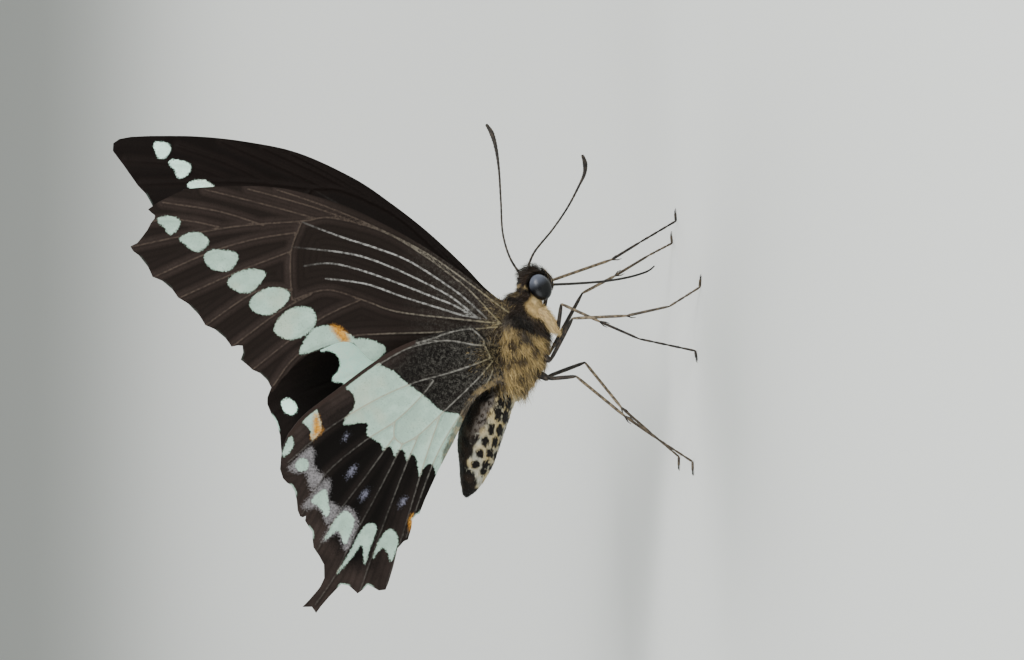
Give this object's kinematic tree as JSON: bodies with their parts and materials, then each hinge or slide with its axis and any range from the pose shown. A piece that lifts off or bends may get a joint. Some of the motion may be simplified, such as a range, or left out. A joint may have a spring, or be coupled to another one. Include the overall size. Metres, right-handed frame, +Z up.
{
  "type": "swallowtail butterfly model",
  "caption": "Malabar banded swallowtail at rest on its legs, dark wings with a pale spotted band closed over its back, life size.",
  "frame": {"origin": "on the floor under the middle of the bounding box", "axes": "+X forward out of the head, +Y to the animal's left, +Z up along the closed wings"},
  "size_m": [0.0574, 0.0218, 0.0672],
  "materials": {
    "thorax": "ochre hair with dark flecks",
    "abdomen": "buff scales with rows of black spots, black above",
    "head": "blackish brown hair, cream below the eye",
    "eye": "glossy dark blue-grey",
    "horn": "dark brown, paler on the shins",
    "wing": "blackish brown scales with a greenish white band of spots"
  },
  "bodies": {
    "root": {"thorax": "thorax", "abdomen": "abdomen", "head": "head", "eye_left": "eye", "eye_right": "eye", "antenna_left": "horn", "antenna_right": "horn", "palp_left": "head", "palp_right": "head", "proboscis": "horn", "foreleg_left": "horn", "foreleg_right": "horn", "midleg_left": "horn", "midleg_right": "horn", "hindleg_left": "horn", "hindleg_right": "horn", "forewing_left": "wing", "forewing_right": "wing", "hindwing_left": "wing", "hindwing_right": "wing"}
  },
  "joints": []
}
